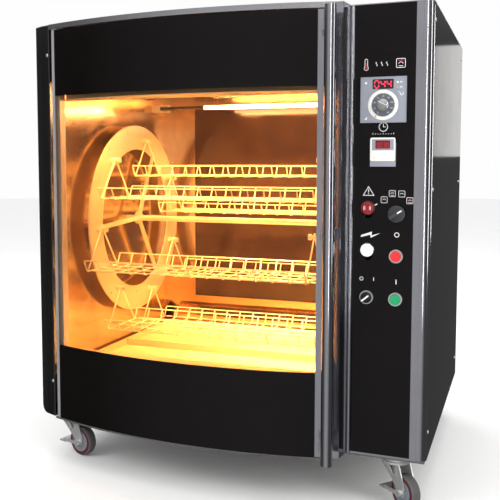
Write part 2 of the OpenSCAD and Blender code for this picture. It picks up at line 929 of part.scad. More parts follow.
brake_pedal(false, front_left_turn);  // brake_pedal_fl
brake_pedal(true, front_right_turn);  // brake_pedal_fr
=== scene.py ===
import json
import math

import bmesh
import bpy
from mathutils import Matrix, Vector


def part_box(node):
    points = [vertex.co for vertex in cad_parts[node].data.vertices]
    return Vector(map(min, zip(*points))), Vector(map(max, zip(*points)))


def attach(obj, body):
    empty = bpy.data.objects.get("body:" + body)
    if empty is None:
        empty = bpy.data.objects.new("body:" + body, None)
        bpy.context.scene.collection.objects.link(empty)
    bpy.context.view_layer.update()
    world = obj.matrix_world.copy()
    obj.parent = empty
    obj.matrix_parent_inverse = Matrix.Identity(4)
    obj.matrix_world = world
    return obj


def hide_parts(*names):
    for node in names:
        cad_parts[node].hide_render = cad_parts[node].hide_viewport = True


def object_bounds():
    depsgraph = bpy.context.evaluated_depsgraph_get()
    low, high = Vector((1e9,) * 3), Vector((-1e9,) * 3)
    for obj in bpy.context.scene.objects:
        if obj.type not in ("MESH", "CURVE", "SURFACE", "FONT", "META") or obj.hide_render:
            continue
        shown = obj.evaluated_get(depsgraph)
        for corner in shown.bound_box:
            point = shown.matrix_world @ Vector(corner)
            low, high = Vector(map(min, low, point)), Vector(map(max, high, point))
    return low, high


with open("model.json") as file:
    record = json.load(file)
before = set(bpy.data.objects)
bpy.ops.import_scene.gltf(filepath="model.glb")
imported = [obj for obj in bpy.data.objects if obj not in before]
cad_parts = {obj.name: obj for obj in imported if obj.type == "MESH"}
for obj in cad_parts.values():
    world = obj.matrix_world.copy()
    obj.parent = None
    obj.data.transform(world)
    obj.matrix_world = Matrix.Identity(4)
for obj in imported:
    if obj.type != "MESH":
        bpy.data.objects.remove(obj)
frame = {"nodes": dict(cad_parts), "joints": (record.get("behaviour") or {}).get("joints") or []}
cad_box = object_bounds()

# Pieces are laid out in millimetres from the cabinet's lower left front corner,
# as in the CAD model: X to the right, Y to the back, Z up. The corner comes from
# the CAD boxes of the left side (X and Z) and of the control glass (Y).
MM = 0.001
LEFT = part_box("left_side_panel")[0]
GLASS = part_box("control_glass")[0]
CORNER = Vector((LEFT[0], GLASS[1], LEFT[2]))

# The bowed front in plan.
BOW_X, BOW_Y, BOW_R = 450.0, 1210.0, 1300.0

CORNERS = ("fl", "fr", "rl", "rr")
BRAKED = ("fl", "fr")


def at(x, y, z):
    """A point in the row frame, in metres."""
    return CORNER + Vector((x, y, z)) * MM


def local(p):
    """A row frame point in millimetres from the cabinet's corner."""
    return (Vector(p) - CORNER) / MM


def middle(node):
    lo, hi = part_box(node)
    return (local(lo) + local(hi)) / 2


def low(node):
    return local(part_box(node)[0])


def high(node):
    return local(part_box(node)[1])


def joint(name):
    return next(j for j in frame["joints"] if j["name"] == name)


# ------------------------------------------------------------------ materials


class Tree:
    """A material's nodes, with short ways to add and join them."""

    def __init__(self, name):
        self.m = bpy.data.materials.new(name)
        self.m.use_nodes = True
        self.t = self.m.node_tree
        self.t.nodes.clear()
        self.out = self.t.nodes.new("ShaderNodeOutputMaterial")
        self.coords = self.t.nodes.new("ShaderNodeTexCoord").outputs["Object"]

    def add(self, kind, **values):
        n = self.t.nodes.new("ShaderNode" + kind)
        for k, v in values.items():
            setattr(n, k, v)
        return n

    def join(self, a, b):
        self.t.links.new(a, b)

    def noise(self, scale, detail=3.0, rough=0.55):
        """Noise over the object's own coordinates; scale is one number or three, per metre."""
        three = scale if isinstance(scale, tuple) else (scale,) * 3
        mp = self.add("Mapping")
        mp.inputs["Scale"].default_value = three
        self.join(self.coords, mp.inputs["Vector"])
        n = self.add("TexNoise")
        n.inputs["Scale"].default_value = 1.0
        n.inputs["Detail"].default_value = detail
        n.inputs["Roughness"].default_value = rough
        self.join(mp.outputs[0], n.inputs["Vector"])
        return n.outputs[0]

    def span(self, value, lo, hi, a=0.3, b=0.7):
        """Maps a value from a..b to lo..hi."""
        n = self.add("MapRange")
        for k, v in (("From Min", a), ("From Max", b), ("To Min", lo), ("To Max", hi)):
            n.inputs[k].default_value = v
        self.join(value, n.inputs["Value"])
        return n.outputs[0]

    def blend(self, factor, a, b):
        n = self.add("Mix", data_type="RGBA")
        self.join(factor, n.inputs[0])
        for socket, v in ((n.inputs[6], a), (n.inputs[7], b)):
            if isinstance(v, tuple):
                socket.default_value = (*v, 1.0)
            else:
                self.join(v, socket)
        return n.outputs[2]

    def total(self, a, b, share):
        """a * (1 - share) + b * share"""
        n = self.add("Mix", data_type="FLOAT")
        n.inputs[0].default_value = share
        self.join(a, n.inputs[2])
        self.join(b, n.inputs[3])
        return n.outputs[0]

    def bump(self, height, strength, distance):
        n = self.add("Bump")
        n.inputs["Strength"].default_value = strength
        n.inputs["Distance"].default_value = distance
        self.join(height, n.inputs["Height"])
        return n.outputs[0]

    def surface(self, shader):
        self.join(shader, self.out.inputs["Surface"])
        return self.m


BUMP_DEPTH = 0.0002
COAT_ROUGHNESS = 0.06


def finish(name, color, vary=0.12, grain=400.0, smudge=9.0, rough=(0.3, 0.45), bump=0.1,
           metallic=0.0, specular=0.5, coat=0.0, wear=None, glow=None):
    """Grain and smudges over one colour. grain is per metre, and three numbers stretch it
    into brush marks. wear is the colour that shows along worn edges. glow is a colour and
    its strength."""
    t = Tree(name)
    fine = t.noise(grain)
    broad = t.noise(smudge, 4.0, 0.6)
    mixed = t.total(fine, broad, 0.45)
    dark = tuple(c * (1 - vary) for c in color)
    light = tuple(min(1.0, c * (1 + vary)) for c in color)
    col = t.blend(t.span(mixed, 0.0, 1.0), dark, light)
    if wear:
        geo = t.add("NewGeometry")
        edge = t.span(geo.outputs["Pointiness"], 0.0, 0.8, 0.52, 0.6)
        both = t.add("Math", operation="MULTIPLY")
        t.join(edge, both.inputs[0])
        t.join(fine, both.inputs[1])
        col = t.blend(both.outputs[0], col, wear)
    p = t.add("BsdfPrincipled")
    t.join(col, p.inputs["Base Color"])
    t.join(t.span(mixed, *rough), p.inputs["Roughness"])
    t.join(t.bump(fine, bump, BUMP_DEPTH), p.inputs["Normal"])
    p.inputs["Metallic"].default_value = metallic
    p.inputs["Specular IOR Level"].default_value = specular
    p.inputs["Coat Weight"].default_value = coat
    p.inputs["Coat Roughness"].default_value = COAT_ROUGHNESS
    if glow:
        p.inputs["Emission Color"].default_value = (*glow[0], 1.0)
        p.inputs["Emission Strength"].default_value = glow[1]
    return t.surface(p.outputs[0])


UP = (900.0, 900.0, 12.0)
ALONG_X = (10.0, 900.0, 900.0)

# Near black: the dark reflection of the polished side and back panels is painted into their
# colour.
steel_side_painted_dark = finish("Stainless side, painted dark", (0.085, 0.08, 0.08), 0.14, UP, 3.0, (0.05, 0.14), 0.03,
                    metallic=1.0)
steel_top = finish("Stainless top", (0.62, 0.62, 0.64), 0.10, ALONG_X, 4.0, (0.24, 0.36), 0.06,
                   metallic=1.0)
# The column's steel is painted dark, standing for the shade and dark reflection on its facets.
steel_column_painted_dark = finish("Stainless column, painted dark", (0.15, 0.14, 0.14), 0.20, UP, 7.0, (0.12, 0.26), 0.08,
                      metallic=1.0)
steel_bright = finish("Polished stainless", (0.60, 0.60, 0.64), 0.10, UP, 6.0, (0.08, 0.18),
                      0.04, metallic=1.0)
steel_brushed = finish("Brushed strip", (0.52, 0.52, 0.56), 0.16, UP, 8.0, (0.22, 0.36), 0.10,
                       metallic=1.0)
# The cavity steel is painted orange: the warm light of the tubes is painted into its colour.
steel_cavity_painted_warm = finish("Cavity stainless, painted warm light", (0.86, 0.64, 0.42), 0.14, UP, 5.0, (0.12, 0.26), 0.10,
                      metallic=1.0)
# The cavity floor, drip tray and door ledges are painted golden and bright: painted warm light
# from the tubes.
steel_floor_painted_warm = finish("Cavity floor stainless, painted warm light", (0.98, 0.80, 0.52), 0.14, ALONG_X, 5.0,
                     (0.24, 0.42), 0.12, metallic=0.5)
steel_satin = finish("Satin stainless", (0.78, 0.78, 0.82), 0.10, UP, 8.0, (0.36, 0.50), 0.08,
                     metallic=0.8)
# The rings, shaft and pins are painted pale gold: painted warm light from the tubes.
steel_ring_painted_warm = finish("Ring stainless, painted warm light", (0.98, 0.92, 0.76), 0.08, 260.0, 8.0, (0.34, 0.50), 0.08,
                    metallic=0.8)
frame_paint = finish("Frame paint", (0.035, 0.035, 0.038), 0.25, 900.0, 8.0, (0.45, 0.65), 0.20,
                     wear=(0.20, 0.19, 0.18))
ceramic = finish("Glazed ceramic", (0.80, 0.74, 0.62), 0.08, 300.0, 30.0, (0.20, 0.40), 0.12)
cast_grey = finish("Painted casting", (0.10, 0.11, 0.12), 0.20, 500.0, 20.0, (0.45, 0.70), 0.45,
                   wear=(0.35, 0.35, 0.36))
zinc = finish("Zinc plate", (0.80, 0.81, 0.80), 0.12, 260.0, 40.0, (0.26, 0.44), 0.15,
              metallic=0.75)
# The basket wire is painted golden white: painted warm light from the tubes.
wire_painted_warm = finish("Basket wire, painted warm light", (1.0, 0.93, 0.74), 0.10, 500.0, 30.0, (0.24, 0.42), 0.12,
                    metallic=0.55, specular=0.9)
black_glass = finish("Black glass", (0.0032, 0.0022, 0.0022), 0.20, 30.0, 5.0, (0.04, 0.10), 0.01,
                     specular=0.30)
tinted_glass = finish("Tinted rear glass", (0.030, 0.016, 0.010), 0.40, 20.0, 9.0, (0.04, 0.14),
                      0.02, specular=0.45)
instrument_grey = finish("Instrument housing", (0.215, 0.235, 0.29), 0.08, 1800.0, 60.0,
                         (0.38, 0.52), 0.25, wear=(0.42, 0.44, 0.50))
scale_grey = finish("Dial scale", (0.115, 0.125, 0.16), 0.10, 1500.0, 60.0, (0.40, 0.55), 0.20)
# The white print has a faint painted glow of its own.
white_print = finish("White print, painted glow", (0.82, 0.83, 0.86), 0.06, 1500.0, 80.0, (0.35, 0.50), 0.15,
                     glow=((0.9, 0.92, 1.0), 0.06))
white_plastic = finish("White plastic", (0.78, 0.77, 0.73), 0.06, 1500.0, 60.0, (0.25, 0.40),
                       0.15, wear=(0.9, 0.9, 0.88))
red_print = finish("Red print", (0.62, 0.03, 0.05), 0.10, 1500.0, 80.0, (0.35, 0.50), 0.15)
display_dark = finish("Display window", (0.018, 0.010, 0.012), 0.25, 600.0, 60.0, (0.08, 0.20),
                      0.05, coat=0.5)
display_red = finish("Display digits", (0.75, 0.02, 0.05), 0.10, 900.0, 90.0, (0.3, 0.5), 0.10,
                     glow=((1.0, 0.03, 0.08), 1.3))
timer_window = finish("Timer window", (0.16, 0.006, 0.012), 0.25, 600.0, 60.0, (0.08, 0.20),
                      0.05, coat=0.5)
timer_red = finish("Timer digits", (0.45, 0.02, 0.04), 0.10, 900.0, 90.0, (0.3, 0.5), 0.10,
                   glow=((1.0, 0.05, 0.07), 0.25))
lamp_green = finish("Green light", (0.65, 0.85, 0.62), 0.06, 900.0, 90.0, (0.15, 0.3), 0.05,
                    glow=((0.75, 1.0, 0.65), 0.8))
lamp_red = finish("Red light", (0.75, 0.16, 0.12), 0.06, 900.0, 90.0, (0.15, 0.3), 0.05,
                  glow=((1.0, 0.2, 0.12), 0.4))
lens_red = finish("Red lens", (0.30, 0.008, 0.015), 0.25, 500.0, 60.0, (0.12, 0.28), 0.15,
                  coat=0.8)
lens_white = finish("Lit white lens", (0.90, 0.91, 0.95), 0.04, 500.0, 60.0, (0.12, 0.25), 0.08,
                    coat=0.6, glow=((0.92, 0.95, 1.0), 1.1))
button_red = finish("Red button", (0.78, 0.025, 0.035), 0.10, 900.0, 60.0, (0.20, 0.36), 0.12,
                    coat=0.3, wear=(0.95, 0.25, 0.22))
button_green = finish("Green button", (0.015, 0.36, 0.14), 0.10, 900.0, 60.0, (0.20, 0.36),
                      0.12, coat=0.3, wear=(0.20, 0.62, 0.35))
black_plastic = finish("Black plastic", (0.012, 0.012, 0.014), 0.30, 1800.0, 60.0, (0.30, 0.45),
                       0.30, wear=(0.10, 0.10, 0.11))
knob_plastic = finish("Knob plastic", (0.040, 0.042, 0.047), 0.25, 1800.0, 60.0, (0.30, 0.48),
                      0.35, wear=(0.16, 0.16, 0.17))
knob_metal = finish("Turned aluminium", (0.80, 0.79, 0.77), 0.12, (1200.0, 60.0, 1200.0), 60.0,
                    (0.16, 0.30), 0.12, metallic=1.0)
hub_plastic = finish("Hub cover plastic", (0.17, 0.19, 0.22), 0.12, 900.0, 40.0, (0.32, 0.50),
                     0.25, wear=(0.45, 0.45, 0.46))
tread_grey = finish("Tyre tread", (0.075, 0.072, 0.072), 0.18, 600.0, 30.0, (0.55, 0.75), 0.45,
                    wear=(0.28, 0.27, 0.26))
tread_red = finish("Tyre band", (0.10, 0.008, 0.018), 0.20, 600.0, 30.0, (0.40, 0.60), 0.35,
                   wear=(0.34, 0.08, 0.08))
gland_nylon = finish("Gland nylon", (0.015, 0.015, 0.016), 0.25, 1200.0, 40.0, (0.45, 0.60),
                     0.30, wear=(0.09, 0.09, 0.09))


def glowing(name, color, strength, lamp):
    """A surface that shines, with faint streaks in its base. lamp says whether it lights
    the rest."""
    t = Tree(name)
    streak = t.noise((60.0, 900.0, 900.0))
    p = t.add("BsdfPrincipled")
    t.join(t.blend(streak, color, tuple(c * 0.8 for c in color)), p.inputs["Base Color"])
    t.join(t.span(streak, 0.10, 0.25), p.inputs["Roughness"])
    t.join(t.bump(streak, 0.05, BUMP_DEPTH), p.inputs["Normal"])
    p.inputs["Emission Color"].default_value = (*color, 1.0)
    p.inputs["Emission Strength"].default_value = strength
    if not lamp:
        t.m.cycles.emission_sampling = "NONE"
    return t.surface(p.outputs[0])


quartz_lit = glowing("Glowing quartz", (1.0, 0.54, 0.18), 30.0, True)
coil_lit = glowing("Glowing coil", (1.0, 0.86, 0.62), 90.0, False)
# A painted highlight: the orange line of light at the door glass's edge is a glowing rod, not a
# lamp.
edge_painted_glow = glowing("Glass edge, painted glow", (1.0, 0.36, 0.05), 2.2, False)


def clear_glass(name, tint, gloss):
    """Thin clear glass: what is behind shows through, and the rest is reflection and smudges."""
    t = Tree(name)
    smear = t.noise(14.0, 4.0, 0.65)
    see = t.add("BsdfTransparent")
    t.join(t.blend(smear, tint, tuple(c * 0.97 for c in tint)), see.inputs["Color"])
    shine = t.add("BsdfGlossy")
    shine.inputs["Color"].default_value = (1.0, 1.0, 1.0, 1.0)
    t.join(t.span(smear, 0.015, 0.05), shine.inputs["Roughness"])
    fresnel = t.add("Fresnel")
    fresnel.inputs["IOR"].default_value = 1.45
    part = t.add("Math", operation="MULTIPLY")
    part.inputs[1].default_value = gloss
    t.join(fresnel.outputs[0], part.inputs[0])
    mix = t.add("MixShader")
    t.join(part.outputs[0], mix.inputs[0])
    t.join(see.outputs[0], mix.inputs[1])
    t.join(shine.outputs[0], mix.inputs[2])
    return t.surface(mix.outputs[0])


door_clear = clear_glass("Door glass", (0.93, 0.86, 0.78), 0.3)

# ------------------------------------------------------------------ mesh tools


# A bar's ring is widened by at most this where it bends.
MIN_BEND = 0.6
MAX_WIDENING = 1.15


class Build:
    """Gathers mesh parts, in millimetres from the cabinet's corner, into one piece."""

    def __init__(self):
        self.bm = bmesh.new()
        self.mats = []

    def faces(self, verts, faces, mat):
        if mat not in self.mats:
            self.mats.append(mat)
        vs = [self.bm.verts.new(at(*v)) for v in verts]
        for f in faces:
            try:
                self.bm.faces.new([vs[i] for i in f]).material_index = self.mats.index(mat)
            except ValueError:
                continue

    def rod(self, points, r, mat, sides=10):
        """A round bar along a line of points, a little wider where it bends."""
        pts = [Vector(p) for p in points]
        n = len(pts)
        ahead = [(pts[min(i + 1, n - 1)] - pts[max(i - 1, 0)]).normalized() for i in range(n)]
        side = ahead[0].orthogonal().normalized()
        verts = []
        for i in range(n):
            side = (side - ahead[i] * side.dot(ahead[i])).normalized()
            up = ahead[i].cross(side)
            turn = 1.0
            if 0 < i < n - 1:
                turn = ahead[i].dot((pts[i] - pts[i - 1]).normalized())
            wide = min(1.0 / max(turn, MIN_BEND), MAX_WIDENING)
            for k in range(sides):
                a = 2 * math.pi * k / sides
                verts.append(pts[i] + (side * math.cos(a) + up * math.sin(a)) * r * wide)
        faces = []
        for i in range(n - 1):
            for k in range(sides):
                m = (k + 1) % sides
                faces.append((i * sides + k, i * sides + m, (i + 1) * sides + m,
                              (i + 1) * sides + k))
        faces.append(tuple(range(sides - 1, -1, -1)))
        faces.append(tuple((n - 1) * sides + k for k in range(sides)))
        self.faces(verts, faces, mat)

    def turned(self, profile, origin, axis, mat, seg=48, scallop=0.0, lobes=0):
        """A turned body: profile holds (radius, height along the axis)."""
        d = Vector(axis).normalized()
        u = d.orthogonal().normalized()
        v = d.cross(u)
        o = Vector(origin)
        verts, rings = [], []
        for r, h in profile:
            if r <= 0:
                rings.append([len(verts)])
                verts.append(o + d * h)
                continue
            ring = []
            for k in range(seg):
                a = 2 * math.pi * k / seg
                rr = r * (1 - scallop * (0.5 + 0.5 * math.cos(lobes * a))) if lobes else r
                ring.append(len(verts))
                verts.append(o + d * h + (u * math.cos(a) + v * math.sin(a)) * rr)
            rings.append(ring)
        faces = []
        for a, b in zip(rings, rings[1:]):
            for k in range(seg):
                m = (k + 1) % seg
                if len(a) == 1 and len(b) > 1:
                    faces.append((a[0], b[m], b[k]))
                elif len(b) == 1 and len(a) > 1:
                    faces.append((a[k], a[m], b[0]))
                elif len(a) > 1:
                    faces.append((a[k], a[m], b[m], b[k]))
        self.faces(verts, faces, mat)

    def plate(self, outline, y0, y1, mat):
        """A flat piece on the panel: its outline as (x, z), from y0 back to y1."""
        n = len(outline)
        verts = [(x, y0, z) for x, z in outline] + [(x, y1, z) for x, z in outline]
        faces = [tuple(range(n)), tuple(range(2 * n - 1, n - 1, -1))]
        faces += [(i, i + n, (i + 1) % n + n, (i + 1) % n) for i in range(n)]
        self.faces(verts, faces, mat)

    def line(self, points, width, y0, y1, mat, closed=False):
        """A raised line on the panel through (x, z) points."""
        n = len(points)
        pts = [Vector((p[0], p[1])) for p in points]
        left, right = [], []
        for i in range(n):
            before = pts[i - 1] if closed or i else None
            after = pts[(i + 1) % n] if closed or i < n - 1 else None
            d0 = (pts[i] - before).normalized() if before is not None else None
            d1 = (after - pts[i]).normalized() if after is not None else None
            d = ((d0 or d1) + (d1 or d0)).normalized()
            nrm = Vector((-d.y, d.x))
            k = 1.0 / max(0.35, nrm.dot(Vector((-(d1 or d0).y, (d1 or d0).x))))
            left.append(pts[i] + nrm * width / 2 * k)
            right.append(pts[i] - nrm * width / 2 * k)
        for i in range(n if closed else n - 1):
            j = (i + 1) % n
            self.plate([left[i], left[j], right[j], right[i]], y0, y1, mat)

    def block(self, lo, hi, bevel, mat, segments=2, turn=0.0, about=None):
        """A box with rounded edges, turned about the Y axis by turn degrees."""
        part = bmesh.new()
        bmesh.ops.create_cube(part, size=1.0)
        lo, hi = Vector(lo), Vector(hi)
        for v in part.verts:
            v.co = Vector([(lo[i] + hi[i]) / 2 + v.co[i] * (hi[i] - lo[i]) for i in range(3)])
        if bevel > 0:
            bmesh.ops.bevel(part, geom=list(part.edges), offset=bevel, segments=segments,
                            affect="EDGES", profile=0.6)
        if turn:
            c = Vector(about)
            spin = Matrix.Rotation(math.radians(turn), 3, "Y")
            for v in part.verts:
                v.co = c + spin @ (v.co - c)
        part.verts.index_update()
        verts = [tuple(v.co) for v in part.verts]
        faces = [tuple(v.index for v in f.verts) for f in part.faces]
        part.free()
        self.faces(verts, faces, mat)

    def done(self, name, body, nodes=(), weld=0.0, angle=35.0):
        if weld:
            bmesh.ops.remove_doubles(self.bm, verts=list(self.bm.verts), dist=weld * MM)
        bmesh.ops.recalc_face_normals(self.bm, faces=list(self.bm.faces))
        mesh = bpy.data.meshes.new(name)
        self.bm.to_mesh(mesh)
        self.bm.free()
        for m in self.mats:
            mesh.materials.append(m)
        for p in mesh.polygons:
            p.use_smooth = True
        mesh.set_sharp_from_angle(angle=math.radians(angle))
        obj = bpy.data.objects.new(name, mesh)
        bpy.context.scene.collection.objects.link(obj)
        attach(obj, body)
        if nodes:
            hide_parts(*nodes)
        return obj


def circle(cx, cz, r, count=32, start=0.0, sweep=360.0):
    """Points on a circle on the panel, clockwise from straight up."""
    full = abs(sweep) >= 360
    steps = count if full else count - 1
    out = []
    for i in range(count):
        a = math.radians(start + sweep * i / steps)
        out.append((cx + r * math.sin(a), cz + r * math.cos(a)))
    return out


CORNER_POINTS = 5


def rounded(x0, z0, x1, z1, r):
    """The outline of a rounded rectangle on the panel."""
    out = []
    for cx, cz, a0 in ((x1 - r, z1 - r, 0), (x1 - r, z0 + r, 90), (x0 + r, z0 + r, 180),
                       (x0 + r, z1 - r, 270)):
        out += circle(cx, cz, r, CORNER_POINTS, a0, 90)
    return out


def bow_y(x, r):
    return BOW_Y - math.sqrt(r * r - (x - BOW_X) ** 2)


# ------------------------------------------------------------ materials on the CAD


def dress(material, *nodes):
    for n in nodes:
        obj = frame["nodes"][n]
        obj.data.materials.clear()
        obj.data.materials.append(material)


dress(steel_side_painted_dark, "left_side_panel", "right_side_panel", "back_panel")
dress(steel_top, "top_panel")
dress(steel_column_painted_dark, "left_front_column")
dress(steel_cavity_painted_warm, "front_frame", "cavity_left_wall", "cavity_right_wall", "cavity_ceiling",
      "cavity_back_wall")
dress(steel_floor_painted_warm, "cavity_floor", "drip_tray")
dress(steel_bright, "door_jamb", "control_fascia", "door_right_stile", "handle_tube")
dress(steel_satin, "door_frame")
dress(steel_brushed, "handle_standoffs")
dress(steel_floor_painted_warm, "door_ledges")
dress(black_glass, "control_glass")
dress(tinted_glass, "rear_window_glass")
dress(ceramic, "heater_holders")
dress(instrument_grey, "panel_instruments")
dress(zinc, "control_bezels", "hinge_pins", "castor_plates")
dress(cast_grey, "gearmotor", "shaft_bearings")
dress(frame_paint, "base_frame", "power_box")
dress(gland_nylon, "cable_gland")
dress(steel_ring_painted_warm, "rotor_shaft", "left_ring", "right_ring", "pivot_pins")
dress(zinc, *("castor_fork_" + corner for corner in CORNERS))
dress(zinc, *("brake_pedal_" + corner for corner in BRAKED))

# ------------------------------------------------------------------ door glass

DOOR_LO, DOOR_HI = low("door_glass"), high("door_glass")
BAND_LOW, BAND_HIGH = 175.0, 793.0
PANE_T = 6.0


def bowed_pane(b, x0, x1, rows, ro, ri, mats):
    """A bowed sheet between two radii: mats[i] covers the stretch above rows[i]."""
    cols = 72
    xs = [x0 + (x1 - x0) * i / cols for i in range(cols + 1)]
    for (z0, z1), mat in zip(zip(rows, rows[1:]), mats):
        verts, faces = [], []
        for z in (z0, z1):
            for r in (ro, ri):
                verts += [(x, bow_y(x, r), z) for x in xs]
        n = cols + 1
        for i in range(cols):
            faces.append((i, i + 1, 2 * n + i + 1, 2 * n + i))
            faces.append((n + i + 1, n + i, 3 * n + i, 3 * n + i + 1))
            if z0 == rows[0]:
                faces.append((i + 1, i, n + i, n + i + 1))
            if z1 == rows[-1]:
                faces.append((2 * n + i, 2 * n + i + 1, 3 * n + i + 1, 3 * n + i))
        faces.append((0, 2 * n, 3 * n, n))
        faces.append((cols, n + cols, 3 * n + cols, 2 * n + cols))
        b.faces(verts, faces, mat)


pane = Build()
bowed_pane(pane, DOOR_LO.x, DOOR_HI.x, [DOOR_LO.z, BAND_LOW, BAND_HIGH, DOOR_HI.z],
           BOW_R, BOW_R - PANE_T, [black_glass, door_clear, black_glass])
pane.done("door_glass_pane", "door", ["door_glass"], weld=0.01)

# The rod beside the pane glows: a painted highlight standing for light along the glass edge.
edge = Build()
EDGE_X = DOOR_HI.x + 15.0
EDGE_BEHIND, EDGE_R, EDGE_SHORT = 7.4, 1.6, 4.0
edge.rod([(EDGE_X, bow_y(EDGE_X, BOW_R - EDGE_BEHIND), z)
          for z in (BAND_LOW + EDGE_SHORT, BAND_HIGH - EDGE_SHORT)], EDGE_R, edge_painted_glow, 8)
edge.done("door_glass_edge_painted_glow", "door")

# ------------------------------------------------------------------ baskets

WIRE = 1.6
HANGER = 1.9
EYE = 7.7
BASKET_PIN_BELOW_TOP = 9.5
CROSS = 13


def u_wire(x, y, z, spread, top, floor, half):
    """A U-shaped cross wire with bent corners."""
    c = 5.0
    side = Vector((spread - half, top - floor)).normalized()
    pts = [(x, y - spread, z + top), (x, y - half - side.x * c, z + floor + side.y * c),
           (x, y - half + c * 0.3, z + floor + c * 0.12), (x, y - half + c, z + floor)]
    back = [(x, 2 * y - p[1], p[2]) for p in reversed(pts)]
    return pts + back


def basket(k):
    name = f"basket_{k}"
    lo, hi = low(name), high(name)
    y, z = (lo.y + hi.y) / 2, hi.z - BASKET_PIN_BELOW_TOP
    half_rim = (hi.y - lo.y) / 2 - WIRE
    floor = lo.z - z + WIRE
    rim = floor + 30.0
    half_floor = half_rim - 14.5
    b = Build()
    for s in (-1, 1):
        b.rod([(lo.x + 2, y + s * half_rim, z + rim), (hi.x - 2, y + s * half_rim, z + rim)],
              WIRE, wire_painted_warm)
        b.rod([(lo.x + 2, y + s * (half_floor - 3), z + floor + 2.4),
               (hi.x - 2, y + s * (half_floor - 3), z + floor + 2.4)], WIRE, wire_painted_warm)
        b.rod([(lo.x + 2, y + s * half_floor / 3, z + floor + 2.4),
               (hi.x - 2, y + s * half_floor / 3, z + floor + 2.4)], WIRE, wire_painted_warm)
    step = (hi.x - lo.x) / (CROSS + 1)
    for i in range(1, CROSS + 1):
        b.rod(u_wire(lo.x + step * i, y, z, half_rim, rim - 1, floor, half_floor), WIRE,
              wire_painted_warm, 8)
    for x in (lo.x + 2.0, hi.x - 2.0):
        b.rod(u_wire(x, y, z, half_rim, rim - 1, floor, half_floor), HANGER, wire_painted_warm, 8)
        # One wire runs from corner to corner over the pin.
        arc = []
        for i in range(15):
            a = math.radians(-118 + 236 * i / 14)
            arc.append((x, y + EYE * math.sin(a), z + EYE * math.cos(a)))
        foot = half_floor - 2.0
        b.rod([(x, y - foot, z + floor + 1.5), (x, y - foot + 6, z + floor + 9)] + arc
              + [(x, y + foot - 6, z + floor + 9), (x, y + foot, z + floor + 1.5)], HANGER,
              wire_painted_warm, 10)
    b.done(f"basket_{k}_wires", name, [name])


for k in range(1, 8):
    basket(k)

# ------------------------------------------------------------------ heating tubes

tubes = Build()
TUBE_LO, TUBE_HI = low("heater_tubes"), high("heater_tubes")
TUBE_R = 6.0
COLD_END = 160.0
QUARTZ_R = 5.4
CAP = 9.6
COIL_R, COIL_WIRE_R, COIL_TURNS, COIL_SIDES, COIL_SHORT = 5.75, 0.22, 90, 8, 12
for ty, tz in ((TUBE_LO.y + TUBE_R, TUBE_LO.z + TUBE_R), (TUBE_HI.y - TUBE_R, TUBE_HI.z - TUBE_R)):
    x0, x1 = TUBE_LO.x, TUBE_HI.x
    tubes.turned([(0, 0), (5.2, 0), (6, 0.8), (6, 9.2), (QUARTZ_R, CAP)], (x0, ty, tz), (1, 0, 0),
                 ceramic, 24)
    tubes.turned([(QUARTZ_R, CAP), (QUARTZ_R, COLD_END)], (x0, ty, tz), (1, 0, 0),
                 steel_column_painted_dark, 24)
    long = x1 - x0
    tubes.turned([(QUARTZ_R, COLD_END), (QUARTZ_R, long - CAP)], (x0, ty, tz), (1, 0, 0),
                 quartz_lit, 24)
    tubes.turned([(QUARTZ_R, long - CAP), (6, long - 9.2), (6, long - 0.8), (5.2, long),
                  (0, long)], (x0, ty, tz), (1, 0, 0), ceramic, 24)
    coil = []
    steps = COIL_TURNS * COIL_SIDES
    for i in range(steps + 1):
        a = 2 * math.pi * i / COIL_SIDES
        coil.append((x0 + COLD_END + (long - COLD_END - COIL_SHORT) * i / steps,
                     ty + COIL_R * math.sin(a), tz + COIL_R * math.cos(a)))
    tubes.rod(coil, COIL_WIRE_R, coil_lit, 4)
tubes.done("heating_tubes", "cabinet", ["heater_tubes"])

# ------------------------------------------------------------------ screws

screws = Build()


def screw(x, y, z, axis):
    d = Vector(axis).normalized()
    o = Vector((x, y, z))
    screws.turned([(4.0, 0.02), (4.0, 0.5), (3.6, 1.1), (2.8, 1.6), (1.6, 1.85), (0, 1.9)], o,
                  axis, zinc, 24)
    u = d.orthogonal().normalized()
    v = d.cross(u)
    # The cross recess is not cut: two black bars stand in for it, as painted shade in the slot.
    for a, c in ((u, v), (v, u)):
        verts = []
        for h in (1.2, 1.96):
            verts += [o + d * h + a * 2.1 * i + c * 0.4 * j
                      for i, j in ((-1, -1), (1, -1), (1, 1), (-1, 1))]
        screws.faces([tuple(p) for p in verts],
                     [(3, 2, 1, 0), (4, 5, 6, 7), (0, 1, 5, 4), (1, 2, 6, 5), (2, 3, 7, 6),
                      (3, 0, 4, 7)], black_plastic)


WIDE = high("right_side_panel").x
DEEP = high("back_panel").y
TALL = high("top_panel").z
COLUMN_SCREW_X, COLUMN_SCREW_Y, COLUMN_TURN = 48, -23.43, math.radians(21.45)
for y in (30, DEEP - 40):
    for z in (46, 574, 929):
        screw(WIDE, y, z, (1, 0, 0))
        screw(0, y, z, (-1, 0, 0))
for x in (24, 330, 640, WIDE - 24):
    for z in (40, TALL - 40):
        screw(x, DEEP, z, (0, 1, 0))
for z in (78.5, 893):
    screw(COLUMN_SCREW_X, COLUMN_SCREW_Y, z, (-math.sin(COLUMN_TURN), -math.cos(COLUMN_TURN), 0))
screws.done("screw_heads", "cabinet", ["body_screws"])

# ------------------------------------------------------------------ instruments

FACE = low("panel_instruments").y
DIAL = middle("temperature_dial")
PRINT = FACE - 0.3

SEGMENTS = {
    "0": "abcdef", "1": "bc", "2": "abged", "3": "abgcd", "4": "fgbc", "5": "afgcd",
    "6": "afgecd", "7": "abc", "8": "abcdefg", "9": "abcdfg",
}


